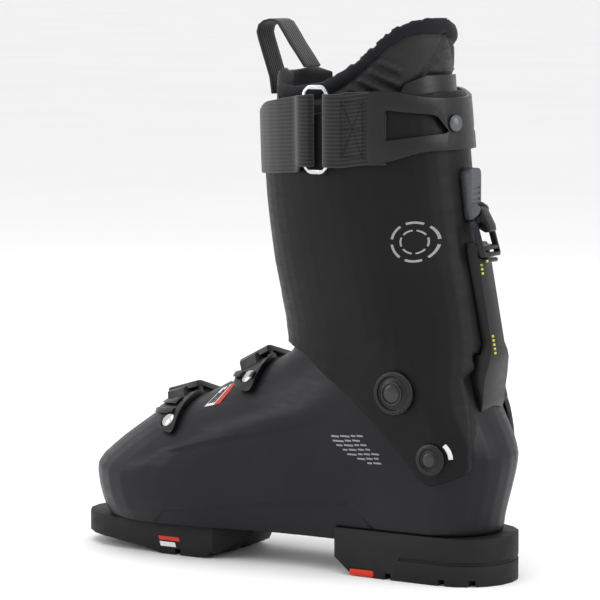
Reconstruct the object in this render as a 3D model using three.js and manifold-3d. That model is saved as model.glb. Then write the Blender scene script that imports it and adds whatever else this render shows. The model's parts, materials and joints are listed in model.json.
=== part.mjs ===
// Alpine ski boot, right foot: moulded overlap shell, hinged cuff, buckles, strap, rear blade and liner.
// Millimetres. +X toe, +Y inner side, -Y outer side, +Z up; origin at the heel tread's centre.
import * as THREE from "three";
import { mergeVertices } from "three/addons/utils/BufferGeometryUtils.js";
import Module from "manifold-3d";

const wasm = await Module();
wasm.setup();

// ---- overall sizes ----
const SOLE_LENGTH = 315;
const HEEL_REAR = -52;
const TOE_TIP = HEEL_REAR + SOLE_LENGTH;
const SOLE_WIDTH = 69;
const HEEL_LEDGE = 30;
const TOE_LEDGE = 21;
const ARCH_BOTTOM = 21.5;
const HEEL_BLOCK_END = 57;
const SHELL_TOP = 152;
const CUFF_TOP = 306;

// ---- walls and clearances ----
const SHELL_WALL = 5;
const CUFF_WALL = 4.5;
const SEAT = 0.3;
const CUFF_CLEAR = 0.8;
const LINER_CLEAR = 1.2;
const LINER_PAD = 5;
const LEG_PAD = 7;
const FLAP_STEP = 1.8;
const BOARD_TOP = 47;
const TRIM = 0.06;

// ---- pivots ----
const PIVOT = { x: 6.3, z: 120.4 };
const SWING = { x: -18.1, z: 80.5 };
const FLEX = 5;

// Smooth monotone curve through (place, value) rows.
function curve(rows) {
  const n = rows.length;
  const d = [];
  const m = [];
  for (let i = 0; i < n - 1; i++) {
    d.push((rows[i + 1][1] - rows[i][1]) / (rows[i + 1][0] - rows[i][0]));
  }
  for (let i = 0; i < n; i++) {
    const a = d[Math.max(i - 1, 0)];
    const b = d[Math.min(i, n - 2)];
    m.push(a * b <= 0 ? 0 : (2 * a * b) / (a + b));
  }
  return (t) => {
    if (t <= rows[0][0]) return rows[0][1];
    if (t >= rows[n - 1][0]) return rows[n - 1][1];
    let i = 0;
    while (t > rows[i + 1][0]) i++;
    const h = rows[i + 1][0] - rows[i][0];
    const s = (t - rows[i][0]) / h;
    const s2 = s * s;
    const s3 = s2 * s;
    return (2 * s3 - 3 * s2 + 1) * rows[i][1] + (s3 - 2 * s2 + s) * h * m[i]
      + (-2 * s3 + 3 * s2) * rows[i + 1][1] + (s3 - s2) * h * m[i + 1];
  };
}

// ---- closed solids ----
function toSolid(geometry) {
  geometry.deleteAttribute("normal");
  geometry.deleteAttribute("uv");
  const g = mergeVertices(geometry, 1e-4);
  const mesh = new wasm.Mesh({
    numProp: 3,
    vertProperties: new Float32Array(g.attributes.position.array),
    triVerts: new Uint32Array(g.index.array),
  });
  return new wasm.Manifold(mesh);
}

// Stack of level outlines, all with the same number of points, closed at both ends.
function stack(rings) {
  const count = rings[0].length;
  const positions = rings.flat(2);
  const index = [];
  const flat = rings[0].map((p) => new THREE.Vector2(p[0], p[1]));
  const cap = THREE.ShapeUtils.triangulateShape(flat, []);
  const last = (rings.length - 1) * count;
  for (let k = 0; k < rings.length - 1; k++) {
    for (let i = 0; i < count; i++) {
      const a = k * count + i;
      const b = k * count + ((i + 1) % count);
      index.push(a, b, b + count, a, b + count, a + count);
    }
  }
  const topFlat = rings[rings.length - 1].map((p) => new THREE.Vector2(p[0], p[1]));
  const topCap = THREE.ShapeUtils.triangulateShape(topFlat, []);
  cap.forEach(([a, b, c]) => index.push(a, c, b));
  topCap.forEach(([a, b, c]) => index.push(last + a, last + b, last + c));
  const geometry = new THREE.BufferGeometry();
  geometry.setAttribute("position", new THREE.Float32BufferAttribute(positions, 3));
  geometry.setIndex(index);
  return toSolid(geometry);
}

const AXIS = {
  x: new THREE.Vector3(1, 0, 0),
  y: new THREE.Vector3(0, 1, 0),
  z: new THREE.Vector3(0, 0, 1),
};

function frame(origin, u, n) {
  const t = new THREE.Vector3().crossVectors(u, n);
  return new THREE.Matrix4().makeBasis(u, n, t).setPosition(new THREE.Vector3(...origin));
}

const SIDE = frame([0, 0, 0], AXIS.x, AXIS.z);
const PLAN = frame([0, 0, 0], AXIS.x, AXIS.y);

// Prism of an outline drawn in a frame's first two axes, between two values along its third.
function prism(points, place, from, to, holes = []) {
  const shape = new THREE.Shape(points.map((p) => new THREE.Vector2(...p)));
  holes.forEach((h) => shape.holes.push(new THREE.Path(h.map((p) => new THREE.Vector2(...p)))));
  const geometry = new THREE.ExtrudeGeometry(shape, { depth: to - from, bevelEnabled: false });
  geometry.translate(0, 0, from);
  geometry.applyMatrix4(place);
  return toSolid(geometry);
}

// Side-view outline (x, z) carried across from y = low to y = high.
function sideCut(points, low, high) {
  return prism(points, SIDE, -high, -low);
}

function box(x0, x1, y0, y1, z0, z1) {
  return prism([[x0, y0], [x1, y0], [x1, y1], [x0, y1]], PLAN, z0, z1);
}

// Outline with its corners rounded.
function round(points, radius, steps = 3) {
  const out = [];
  const n = points.length;
  for (let i = 0; i < n; i++) {
    const p = new THREE.Vector2(...points[i]);
    const a = new THREE.Vector2(...points[(i + n - 1) % n]).sub(p);
    const b = new THREE.Vector2(...points[(i + 1) % n]).sub(p);
    const r = Math.min(radius, a.length() * 0.45, b.length() * 0.45);
    const from = p.clone().add(a.setLength(r));
    const to = p.clone().add(b.setLength(r));
    for (let k = 0; k <= steps; k++) {
      const s = k / steps;
      out.push([
        (1 - s) * (1 - s) * from.x + 2 * s * (1 - s) * p.x + s * s * to.x,
        (1 - s) * (1 - s) * from.y + 2 * s * (1 - s) * p.y + s * s * to.y,
      ]);
    }
  }
  return out;
}

function disc(cx, cy, r, count = 20) {
  const out = [];
  for (let i = 0; i < count; i++) {
    const a = (2 * Math.PI * i) / count;
    out.push([cx + r * Math.cos(a), cy + r * Math.sin(a)]);
  }
  return out;
}

// Arc-shaped band of the given radii between two angles in degrees, with round ends when asked.
function band(cx, cy, inner, outer, a0, a1, steps = 8) {
  const out = [];
  for (let i = 0; i <= steps; i++) {
    const a = THREE.MathUtils.degToRad(a0 + ((a1 - a0) * i) / steps);
    out.push([cx + outer * Math.cos(a), cy + outer * Math.sin(a)]);
  }
  for (let i = steps; i >= 0; i--) {
    const a = THREE.MathUtils.degToRad(a0 + ((a1 - a0) * i) / steps);
    out.push([cx + inner * Math.cos(a), cy + inner * Math.sin(a)]);
  }
  return out;
}

// Turned piece: profile rows are (radius, height along the axis), starting and ending on the axis.
function turned(rows, origin, axis, count = 24) {
  const profile = rows.map((p) => new THREE.Vector2(...p));
  const geometry = new THREE.LatheGeometry(profile, count);
  const turn = new THREE.Quaternion().setFromUnitVectors(AXIS.y, axis.clone().normalize());
  geometry.applyQuaternion(turn);
  geometry.translate(...origin);
  const solid = toSolid(geometry);
  return solid;
}

// Solid turned about a cross-boot line, by degrees towards the toe.
function turnAbout(solid, at, degrees) {
  const m = new THREE.Matrix4().makeTranslation(at.x, 0, at.z)
    .multiply(new THREE.Matrix4().makeRotationY(THREE.MathUtils.degToRad(degrees)))
    .multiply(new THREE.Matrix4().makeTranslation(-at.x, 0, -at.z));
  return solid.transform(m.elements);
}

// ---- bodies of the boot, as level outlines that change with height ----
// rear, front: ends on the centre line. heel, waist, fore, toe: half widths at four stations.
// nose: how far back the front rounding reaches. back: the same at the rear.
const SHELL_ROWS = {
  rear: [[21, -42], [30, -41.5], [36, -42], [48, -44.5], [60, -47.5], [78, -50.5], [90, -47], [100, -42],
    [110, -37], [119, -33.8], [126, -33], [133, -29], [142, -24], [152, -20.5]],
  front: [[21, 244], [27, 246.5], [45, 250.5], [54, 251.5], [60, 248], [69, 238], [76, 229.5], [82.5, 220],
    [90, 210], [95, 199], [99.5, 186], [104, 172], [111.5, 157], [120.5, 139.5], [129, 121], [134, 110],
    [137.5, 104.5], [145, 101], [152, 98]],
  heel: [[21, 32], [36, 34], [60, 36.5], [80, 38.5], [100, 40.3], [120, 41.2], [152, 40.5]],
  waist: [[21, 32], [36, 36], [60, 40], [80, 42], [100, 41.5], [120, 39], [138, 36], [152, 35]],
  fore: [[21, 41], [30, 46.5], [45, 51.5], [58, 52.5], [70, 50], [82, 46.5], [95, 43], [110, 40],
    [152, 36]],
  toe: [[21, 33], [30, 38.5], [45, 42], [58, 43], [70, 42], [90, 40], [152, 36]],
  nose: [[21, 44], [50, 48], [62, 58], [75, 76], [85, 94], [110, 100], [128, 84], [138, 56], [152, 44]],
  back: [[21, 33], [152, 34]],
};
const CUFF_ROWS = {
  rear: [[45, -50.3], [60, -53.3], [78, -55.3], [90, -51.8], [100, -46.8], [110, -41.8], [119, -38.6],
    [126, -37.5], [133, -37], [142, -36], [180, -29], [213, -22.5], [250, -17.5], [280, -14], [312, -9.5]],
  front: [[45, 130], [120, 118], [146, 106.5], [193, 115], [251, 122], [312, 124]],
  heel: [[45, 39.6], [60, 41.3], [80, 43.3], [100, 45.1], [120, 46], [152, 47.5], [193, 50.5], [251, 53.5],
    [312, 54]],
  waist: [[45, 44.5], [60, 45], [80, 46.5], [100, 46.5], [120, 45], [138, 43.5], [160, 44], [193, 47],
    [251, 51], [312, 52]],
  fore: [[45, 50], [312, 50]],
  toe: [[45, 50], [312, 50]],
  nose: [[45, 60], [138, 58], [200, 62], [312, 66]],
  back: [[45, 34], [120, 35], [142, 50], [160, 64], [213, 74], [250, 74], [312, 64]],
};
const LEG_ROWS = {
  rear: [[118, -23], [140, -17], [152, -14.4], [166, -16.5], [180, -18], [213, -13], [250, -8.6],
    [280, -5.6],
    [306, -2], [322, -5], [352, -5]],
  front: [[118, 88], [154, 90], [180, 104], [213, 109], [251, 115], [300, 117], [352, 112]],
  heel: [[118, 34], [152, 33.8], [166, 38], [180, 42], [213, 44.4], [251, 45.4], [300, 45], [352, 45]],
  waist: [[118, 31.5], [152, 28.5], [166, 33], [180, 38.5], [213, 41.5], [251, 43.5], [300, 44.5],
    [352, 43]],
  fore: [[118, 32], [352, 40]],
  toe: [[118, 32], [352, 40]],
  nose: [[118, 44], [180, 56], [352, 60]],
  back: [[118, 30], [152, 38], [180, 58], [213, 66], [250, 68], [300, 60], [352, 52]],
};
const STATIONS = [-60, 0, 85, 178, 262];
const TOE_SHIFT = 3.5;

function body(rows) {
  const c = Object.fromEntries(Object.entries(rows).map(([k, v]) => [k, curve(v)]));
  // Front end of the outline at height z for a surface grown (or shrunk) evenly by some amount.
  const front = (z, grow) => {
    let best = c.front(z) + grow;
    for (let a = -80; a <= 80; a += 20) {
      const s = Math.abs(grow) * Math.sin((a * Math.PI) / 180);
      const reach = c.front(z + s) + grow * Math.cos((a * Math.PI) / 180);
      best = grow >= 0 ? Math.max(best, reach) : Math.min(best, reach);
    }
    return best;
  };
  const half = (x, z) => {
    const row = [c.heel(z), c.heel(z), c.waist(z), c.fore(z), c.toe(z)];
    return curve(STATIONS.map((s, i) => [s, row[i]]))(x);
  };
  const bulge = (d, reach) => Math.sqrt(Math.max(0, 1 - (1 - Math.min(d / reach, 1)) ** 2));
  const edge = (x, z, grow = 0) => {
    const r = c.rear(z) - grow;
    const f = front(z, grow);
    return (half(x, z) + grow) * bulge(x - r, c.back(z)) * bulge(f - x, c.nose(z));
  };
  const shift = (x, z) => TOE_SHIFT * THREE.MathUtils.smoothstep(x, 100, 220)
    * (1 - THREE.MathUtils.smoothstep(z, 60, 110));
  const ring = (z, grow, count) => {
    const r = c.rear(z) - grow;
    const f = front(z, grow);
    const one = [];
    const two = [];
    for (let i = 0; i <= count; i++) {
      const x = r + ((f - r) * (1 - Math.cos((Math.PI * i) / count))) / 2;
      const y = edge(x, z, grow);
      one.push([x, shift(x, z) - y, z]);
      if (i > 0 && i < count) two.unshift([x, shift(x, z) + y, z]);
    }
    return one.concat(two);
  };
  const solid = (levels, grow, count) => stack(levels.map((z) => ring(z, grow, count)));
  return { c, edge, ring, solid, front };
}

function levels(from, to, step) {
  const n = Math.max(2, Math.round((to - from) / step));
  return Array.from({ length: n + 1 }, (_, i) => from + ((to - from) * i) / n);
}

const SHELL_COUNT = 24;
const CUFF_COUNT = 22;
const S = body(SHELL_ROWS);
const C = body(CUFF_ROWS);
const L = body(LEG_ROWS);
const SHELL_LEVELS = [ARCH_BOTTOM, 30, 40, 50, ...levels(55, 91, 6), ...levels(95, 137, 4.6),
  ...levels(142, SHELL_TOP, 10)];
const CUFF_LEVELS = [...levels(45, 147, 11), ...levels(160, 328, 16)];
S.near = (grow) => S.solid(SHELL_LEVELS, grow, SHELL_COUNT);
C.near = (grow) => C.solid(CUFF_LEVELS, grow, CUFF_COUNT);

// Skin that follows a body between two offsets, kept where the cutter is.
function skin(b, zs, near, far, cutter, count = 22) {
  return b.solid(zs, far, count).intersect(cutter).subtract(near >= SEAT ? b.near(near) : b.solid(zs,
    near, count));
}

// ---- finished pieces ----
const group = new THREE.Group();
group.name = "ski_boot";
const FINISH = {
  shell: [0x2d2d33, 0.5, 0],
  cuff: [0x262626, 0.52, 0],
  sole: [0x1c1c1e, 0.75, 0],
  red: [0xb8261e, 0.5, 0],
  white: [0xe6e6e2, 0.5, 0],
  steel: [0xb9bbbd, 0.3, 1],
  grey: [0x6d6f70, 0.4, 0.6],
  trim: [0x1f1f21, 0.45, 0],
  liner: [0x20242f, 0.8, 0],
  webbing: [0x1a1a1c, 0.9, 0],
  board: [0x55575a, 0.7, 0],
};

function add(name, solid, finish) {
  const m = solid.simplify(TRIM).getMesh();
  const geometry = new THREE.BufferGeometry();
  geometry.setAttribute("position", new THREE.Float32BufferAttribute(m.vertProperties, 3));
  geometry.setIndex(Array.from(m.triVerts));
  geometry.computeVertexNormals();
  const [color, roughness, metalness] = FINISH[finish];
  const mesh = new THREE.Mesh(geometry, new THREE.MeshStandardMaterial({ color, roughness, metalness }));
  mesh.name = name;
  group.add(mesh);
}

// ---- lower shell ----
const FLOOR = HEEL_LEDGE + SEAT + SHELL_WALL;
const innerLevels = [FLOOR, ...levels(44, 84, 13), ...levels(90, 134, 7),
  ...levels(142, SHELL_TOP + 1, 11)];
let shell = S.near(0).subtract(S.solid(innerLevels, -SHELL_WALL, 14));
shell = shell.subtract(box(-80, HEEL_BLOCK_END + SEAT, -60, 60, 0, HEEL_LEDGE + SEAT));
// Outer flap of the overlap lies one step lower.
const flapZone = prism([[96, -13], [150, -15], [206, -11], [212, -24], [196, -44], [96, -48]], PLAN, 84,
  160);
shell = shell.subtract(skin(S, levels(82, 153, 4), -FLAP_STEP, 3, flapZone, 14));
// Arc slots the lower pivots run in, round the main pivot.
const reach = Math.hypot(SWING.x - PIVOT.x, SWING.z - PIVOT.z);
const aim = THREE.MathUtils.radToDeg(Math.atan2(SWING.z - PIVOT.z, SWING.x - PIVOT.x));
const PIN = { r: 4.5, main: 6 };
const spare = THREE.MathUtils.radToDeg((PIN.r + 0.5) / reach);
const slot = band(PIVOT.x, PIVOT.z, reach - PIN.r - 0.4, reach + PIN.r + 0.4, aim - FLEX - spare - 0.5,
  aim + spare);
const slotSolids = [1, -1].map((side) => {
  const y = S.edge(SWING.x, SWING.z);
  return side > 0 ? sideCut(slot, y - 3.6, y + 8) : sideCut(slot, -y - 8, -y + 3.6);
});
slotSolids.forEach((s) => { shell = shell.subtract(s); });
const pivotHole = sideCut(disc(PIVOT.x, PIVOT.z, PIN.main + 0.3, 24), -70, 70);
shell = shell.subtract(pivotHole);

// ---- soles ----
function soleOutline(x0, x1, half, rear, front, count = 10) {
  const out = [];
  const push = (cx, r, a0, a1) => {
    for (let i = 0; i <= count; i++) {
      const a = THREE.MathUtils.degToRad(a0 + ((a1 - a0) * i) / count);
      out.push([cx + r * Math.cos(a), half * Math.sin(a)]);
    }
  };
  if (rear) push(x0 + rear, rear, 270, 90);
  else out.push([x0, -half], [x0, half]);
  if (front) push(x1 - front, front, 90, -90);
  else out.push([x1, half], [x1, -half]);
  return out;
}
const heelBlock = soleOutline(HEEL_REAR, HEEL_BLOCK_END, SOLE_WIDTH / 2, 33, 0);
let heelSole = prism(heelBlock, PLAN, 0, HEEL_LEDGE);
heelSole = heelSole.subtract(prism(soleOutline(-70, 10, 60, 0, 0), PLAN, 13, 15)
  .subtract(prism(soleOutline(HEEL_REAR + 1.2, 12, SOLE_WIDTH / 2 - 1.2, 32, 0), PLAN, 12, 16)));
heelSole = heelSole.subtract(sideCut([[HEEL_BLOCK_END - 15, -1], [HEEL_BLOCK_END + 1, -1],
  [HEEL_BLOCK_END + 1, 12]], -60, 60));
for (const x of [36, 18, -20, -38]) {
  heelSole = heelSole.subtract(box(x - 2, x + 2, -60, -17, -1, 4)).subtract(box(x - 2, x + 2, 17, 60, -1,
    4));
}
const SCREW = { r: 3.6, head: 5 };
const heelScrews = [[22, 0], [-26, 0]];
const toeScrews = [[152, 0]];
heelSole = heelSole.subtract(box(28, 46, SOLE_WIDTH / 2 - 4, 60, -1, 5));

const toePlan = soleOutline(131, TOE_TIP, SOLE_WIDTH / 2, 0, 41);
const toeSide = [[131, 15], [136, 12], [150, 1.5], [160, 0], [188, 0], [205, 3.5], [228, 6.5],
  [TOE_TIP + 1, 8],
  [TOE_TIP + 1, TOE_LEDGE], [131, TOE_LEDGE]];
let toeSole = prism(toePlan, PLAN, -1, TOE_LEDGE + 1).intersect(sideCut(toeSide, -60, 60));
for (const side of [-1, 1]) {
  const corner = [[130, side * 12], [130, side * 36], [150, side * 36]];
  toeSole = toeSole.subtract(prism(side > 0 ? corner.reverse() : corner, PLAN, -2, 30));
}
toeSole = toeSole.subtract(box(196, 232, -17, 17, -1, 9.5));
for (const x of [138, 150, 176]) {
  toeSole = toeSole.subtract(box(x - 2, x + 2, -60, -14, -1, 4)).subtract(box(x - 2, x + 2, 14, 60, -1, 4));
}
const glide = box(196 + SEAT, 232 - SEAT, -17 + SEAT, 17 - SEAT, 3, 9.5 - SEAT)
  .intersect(sideCut([[196, 3.2], [232, 7], [232, 12], [196, 12]], -60, 60));
heelScrews.concat(toeScrews).forEach(([x, y]) => {
  const hole = prism(disc(x, y, SCREW.head + SEAT), PLAN, -1, 40);
  heelSole = heelSole.subtract(hole);
  toeSole = toeSole.subtract(hole);
});

add("lower_shell", shell, "shell");
add("heel_sole", heelSole, "sole");
add("toe_sole", toeSole, "sole");
add("toe_glide_plate", glide, "red");
add("heel_insert", box(28 + SEAT, 46 - SEAT, SOLE_WIDTH / 2 - 4 + SEAT, SOLE_WIDTH / 2, 0.6, 5 - SEAT),
  "red");
[...heelScrews, ...toeScrews].forEach(([x, y], i) => {
  const top = x < HEEL_BLOCK_END ? HEEL_LEDGE : ARCH_BOTTOM;
  const rows = [[0, 4], [SCREW.head, 4], [SCREW.head, 8], [SCREW.r, 10], [SCREW.r, top], [0, top]];
  add(["heel_screw_front", "heel_screw_rear", "toe_screw"][i], turned(rows, [x, y, 0], AXIS.z, 16)
    .subtract(box(x - 3.4, x + 3.4, y - 0.6, y + 0.6, 3, 5.4)), "steel");
});
add("boot_board", S.solid([FLOOR + SEAT, BOARD_TOP], -SHELL_WALL - LINER_CLEAR - 0.6, 14), "board");

// ---- cuff ----
const cuffKeep = [[-60, 147.5], [-41, 143.5], [-30, 129.6], [-33.5, 118], [-36.6, 105.8], [-39.3, 93.8],
  [-40.1, 75],
  [-38, 71.4], [-26.4, 66.4], [-16.5, 63.2], [-11, 64.2], [-7.8, 66.9], [0.2, 75.8], [18.1, 96.2],
    [40.3, 115.7],
  [65.3, 132.3], [75, 139.5], [98, 144.5], [101, 151.5], [150, 151.5], [150, 274], [118, 277], [60, 292],
    [12, 301],
  [-10, CUFF_TOP], [-60, CUFF_TOP]];
let cuff = C.near(0).subtract(C.solid([40, ...levels(60, 152, 18), ...levels(182, 330, 30)],
  -CUFF_WALL, 14));
// The cavity also clears the shell it swings over, upright and flexed.
const shellGrown = S.solid(levels(24, SHELL_TOP, 10), CUFF_CLEAR + 0.5, 16);
cuff = cuff.subtract(shellGrown).subtract(turnAbout(shellGrown, PIVOT, -FLEX));
cuff = cuff.intersect(sideCut(cuffKeep, -80, 80));
cuff = cuff.subtract(box(-60, -10, -9.3, 9.3, 100, 146.5)).subtract(box(-60, -10, -16, 16, 100, 143.5));
cuff = cuff.subtract(sideCut([[-60, 118], [-32, 112], [-32.5, 60], [-60, 60]], -80, 0));
cuff = cuff.subtract(sideCut([[104, 176], [107, 192], [140, 194], [140, 175]], -60, 60));
cuff = cuff.subtract(box(60, 140, -37.2, -35.8, 120, 340));
cuff = cuff.subtract(sideCut(disc(PIVOT.x, PIVOT.z, PIN.main + 0.3, 24), -70, 70));
cuff = cuff.subtract(sideCut(disc(SWING.x, SWING.z, PIN.r + 0.3, 20), -70, 70));

// ---- pivots ----
function pivotPair(name, place, radius, shank, depth, rise, finish) {
  for (const side of [1, -1]) {
    const skinY = Math.max(...[0, 60, 120, 180, 240, 300].map((a) => C.edge(
      place.x + radius * Math.cos((a * Math.PI) / 180), place.z + radius * Math.sin((a * Math.PI) / 180))),
    C.edge(place.x, place.z));
    const y = skinY + SEAT;
    const rows = [[0, -depth], [shank, -depth], [shank, 0], [radius - 1, 0], [radius, 0.8],
      [radius, rise * 0.55],
      [radius - 1.2, rise * 0.8], [radius - 3, rise * 0.8], [radius - 3.4, rise * 0.45],
        [radius - 4.4, rise * 0.45],
      [radius * 0.4, rise], [0, rise]];
    const tag = side > 0 ? "medial" : "lateral";
    const axis = new THREE.Vector3(0, side, 0);
    add(`${name}_${tag}`, turned(rows, [place.x, side * y, place.z], axis, 22), finish);
  }
}

// ---- buckles ----
// Local frame at the lever's pivot: u towards the ladder, n outwards, t along the boot.
const BUCKLE = { bar: 13, arm: 11, lever: 40, half: 6.6, paddle: 10.5, ear: 1.9, rail: 2.4, pin: 1.8,
  bailPin: 1.5, play: 0.25 };
const UP_STAND = 6.5;
const ARM = 3.2;
function buckle(name, at, tiltDeg, leanDeg, b, ladder) {
  const lean = THREE.MathUtils.degToRad(leanDeg);
  const tilt = THREE.MathUtils.degToRad(tiltDeg);
  const m = new THREE.Vector3(Math.sin(lean), 0, Math.cos(lean));
  const n = m.clone().multiplyScalar(Math.cos(tilt)).addScaledVector(AXIS.y, -Math.sin(tilt));
  const u = m.clone().multiplyScalar(Math.sin(tilt)).addScaledVector(AXIS.y, Math.cos(tilt));
  const pivot = new THREE.Vector3(...at).addScaledVector(m, UP_STAND)
    .addScaledVector(u, -BUCKLE.bar).addScaledVector(n, 1.5);
  const place = frame(pivot.toArray(), u, n);
  const surface = b.near(SEAT);
  const { half, paddle, ear, rail, pin, bailPin, play, arm, lever } = BUCKLE;
  const earOut = half + 0.4 + ear;
  const railIn = earOut + 0.4;
  const railOut = railIn + rail;
  // Base plate with two ears and the pin the lever turns on.
  let base = prism(round([[-24, -16], [5.6, -16], [5.6, -4.4], [-24, -4.4]], 1.5, 1), place, -earOut,
    earOut);
  for (const side of [-1, 1]) {
    const t0 = side > 0 ? half + 0.4 : -earOut;
    base = base.add(prism(round([[-6, -5.4], [5.4, -5.4], [3.4, 3.6], [-3.4, 3.6]], 2.4, 2), place, t0,
      t0 + ear));
  }
  base = base.add(prism(disc(0, 0, pin, 10), place, -earOut, earOut)).subtract(surface);
  // Lever: closed, its free end lies away from the ladder.
  const leverSide = round([[2.2, -2.8], [3.5, 0], [2.2, 3.2], [-6, 4.2], [-22, 4.4], [-33, 1], [-lever, -8],
    [-lever + 2, -10], [-31, -2.4], [-22, -0.6], [-12, -2.8]], 1.6, 1);
  const handle = prism(leverSide, place, -half, half)
    .add(prism(leverSide, place, -paddle, paddle).intersect(prism([[-60, -20], [-19, -20], [-19, 20],
      [-60, 20]], place,
      -paddle, paddle)))
    .subtract(prism(disc(0, 0, pin + play, 10), place, -half - 1, half + 1))
    .subtract(prism(disc(-arm, 1, bailPin + play, 10), place, -half - 1, half + 1))
    .subtract(prism([[-30, 1.5], [-18, 3.4], [-18, 9], [-34, 9]], place, -half + 2.4, half - 2.4));
  // Bail: two rails joined by the pin in the lever and by the bar that sits behind a ladder tooth.
  const end = BUCKLE.bar + 2;
  let bail = prism(disc(-arm, 1, bailPin, 10), place, -railOut, railOut);
  for (const side of [-1, 1]) {
    const t0 = side > 0 ? railIn : -railOut;
    bail = bail.add(prism(round([[-arm - 3, -1], [-arm - 3, 3], [end - 4, 2.4], [end, 1], [end, -4],
      [end - 4, -4],
      [end - 6, -0.8]], 1.2, 1), place, t0, t0 + rail));
  }
  bail = bail.add(prism(round([[end - 4, -4], [end, -4], [end, 1.4], [end - 4, 1.4]], 1, 1), place,
    -railOut, railOut));
  // Ladder: rack of teeth near the bar, and an arm that follows the surface down to its rivet.
  const rackHalf = half;
  let rack = prism([[6.2, -16], [23, -16], [23, -5]].concat([[20.5, -3], [18.4, -3], [18.4, -5]],
    [[end - 4.5, -5], [end - 4.5, -2.2], [end - 7, -3.4], [6.2, -5]]), place, -rackHalf, rackHalf);
  rack = rack.subtract(surface);
  rack = rack.add(skin(b, ladder.levels, SEAT, SEAT + ARM, ladder.cutter, 16));
  ladder.ribs.forEach((rib) => {
    rack = rack.add(skin(b, ladder.levels, SEAT + 0.5, SEAT + ARM + 1.4, rib.intersect(ladder.cutter), 16));
  });
  const hole = ladder.hole;
  rack = rack.subtract(hole);
  add(`${name}_base`, base, "trim");
  add(`${name}_lever`, handle, "trim");
  add(`${name}_bail`, bail, "grey");
  add(`${name}_ladder`, rack, "trim");
  add(`${name}_rivet`, ladder.rivet, "steel");
  return { pivot, joint: new THREE.Vector3(-arm, 1, 0).applyMatrix4(place), axis: new THREE.Vector3()
    .crossVectors(u, n).negate() };
}

// Direction square to a body's inner side at a side-view place.
function outward(b, x, z) {
  const dx = (b.edge(x + 1, z) - b.edge(x - 1, z)) / 2;
  const dz = (b.edge(x, z + 1) - b.edge(x, z - 1)) / 2;
  return new THREE.Vector3(-dx, 1, -dz).normalize();
}

// Ladder arm on a body's inner side: its outline, the ribs across it, and the rivet that holds it.
function ladderOn(b, spec, zs) {
  const { x, y, z } = spec.rivet;
  const axis = x === undefined ? AXIS.x.clone() : outward(b, x, z);
  const rise = (SEAT + ARM) * Math.max(axis.x, axis.y);
  const at = x === undefined ? [b.c.front(z), y, z] : [x, b.edge(x, z), z];
  const seat = new THREE.Vector3(...at).addScaledVector(axis, rise).toArray();
  const foot = -0.5 * rise;
  const high = spec.high ?? 90;
  return {
    levels: zs,
    cutter: sideCut(round(spec.outline, 4, 3), spec.low, high),
    ribs: spec.ribs.map((o) => sideCut(o, spec.low, high)),
    rivet: turned([[0, foot], [2.6, foot], [2.6, 0.3], [5.2, 0.3], [5.2, 1.2], [3.6, 2.2], [0, 2.6]],
      seat, axis, 16),
    hole: turned([[0, -6], [2.9, -6], [2.9, 0], [5.6, 0], [5.6, 6], [0, 6]], seat, axis, 16),
  };
}

add("cuff", cuff, "cuff");
pivotPair("main_pivot", PIVOT, 13.8, PIN.main, 8.5, 4, "trim");
pivotPair("lower_pivot", SWING, 10, PIN.r, 8, 2.6, "trim");

const SHELL_ZS = levels(60, 151, 7);
const toe = {
  outline: [[172, 82], [186, 84], [199, 93], [203, 120], [179, 120], [174, 98]],
  low: 4,
  rivet: { x: 180, z: 87 },
  ribs: [[[181, 99], [201, 97], [201, 100], [181, 102]],
    [[179, 93.5], [199, 92], [199, 94.5], [179, 96.5]]],
};
const instep = {
  outline: [[119, 112], [133, 112], [143, 120], [146, 145], [122, 145], [118, 128]],
  low: 4,
  rivet: { x: 126, z: 118 },
  ribs: [[[120, 121], [146, 118], [146, 121], [120, 124]]],
};

buckle("toe_buckle", [191, 0, 98.4], 20, 16.5, S, ladderOn(S, toe, SHELL_ZS));
buckle("instep_buckle", [134, 0, 123.8], 20, 27.5, S, ladderOn(S, instep, SHELL_ZS));
const CUFF_ZS = levels(140, 250, 16);
const low = {
  outline: [[90, 167], [140, 167], [140, 183], [90, 183]],
  low: -27,
  high: 3,
  rivet: { y: -3, z: 175 },
  ribs: [],
};
const high = {
  outline: [[90, 217], [140, 217], [140, 233], [90, 233]],
  low: -27,
  high: 3,
  rivet: { y: -3, z: 225 },
  ribs: [],
};
buckle("low_cuff_buckle", [97, -30, 176], 49, 107, C, ladderOn(C, low, CUFF_ZS));
buckle("high_cuff_buckle", [106.8, -30, 225], 44, 99, C, ladderOn(C, high, CUFF_ZS));

// ---- rear blade and its latch ----
const BLADE = { half: 8.5, foot: 108, neck: 150, top: 212, rear: -42, slope: 0.19 };
const bladeFace = (z) => BLADE.rear + BLADE.slope * (z - 145);
const bladeSide = [[-10, BLADE.foot], [-37, BLADE.foot], [-38.2, 113], [-38.6, 119], [-39.9, 130],
  [BLADE.rear, 140],
  [BLADE.rear, 145], [bladeFace(BLADE.top - 2), BLADE.top - 2], [bladeFace(BLADE.top) + 1.5, BLADE.top],
    [-10, BLADE.top]];
const bladePlan = [[-BLADE.half, BLADE.top], [-BLADE.half, BLADE.neck], [-12, 142], [-15, 130],
  [-14, BLADE.foot],
  [14, BLADE.foot], [15, 130], [12, 142], [BLADE.half, BLADE.neck], [BLADE.half, BLADE.top]];
let blade = sideCut(bladeSide, -30, 30).intersect(prism(bladePlan, frame([0, 0, 0], AXIS.y, AXIS.z), -80,
  0))
  .subtract(S.near(SEAT + 0.1))
  .subtract(C.near(SEAT + 0.1).intersect(box(-90, 90, -90, 90, 143.5, 300)));
for (const z of [201, 208.8]) {
  blade = blade.add(sideCut(round([[bladeFace(z) + 3, z - 2], [bladeFace(z) + 3, z + 2], [-36, z + 1.2],
    [-36, z - 1.2]],
    0.8, 2), -BLADE.half, BLADE.half));
}
add("rear_blade", blade, "trim");

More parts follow.
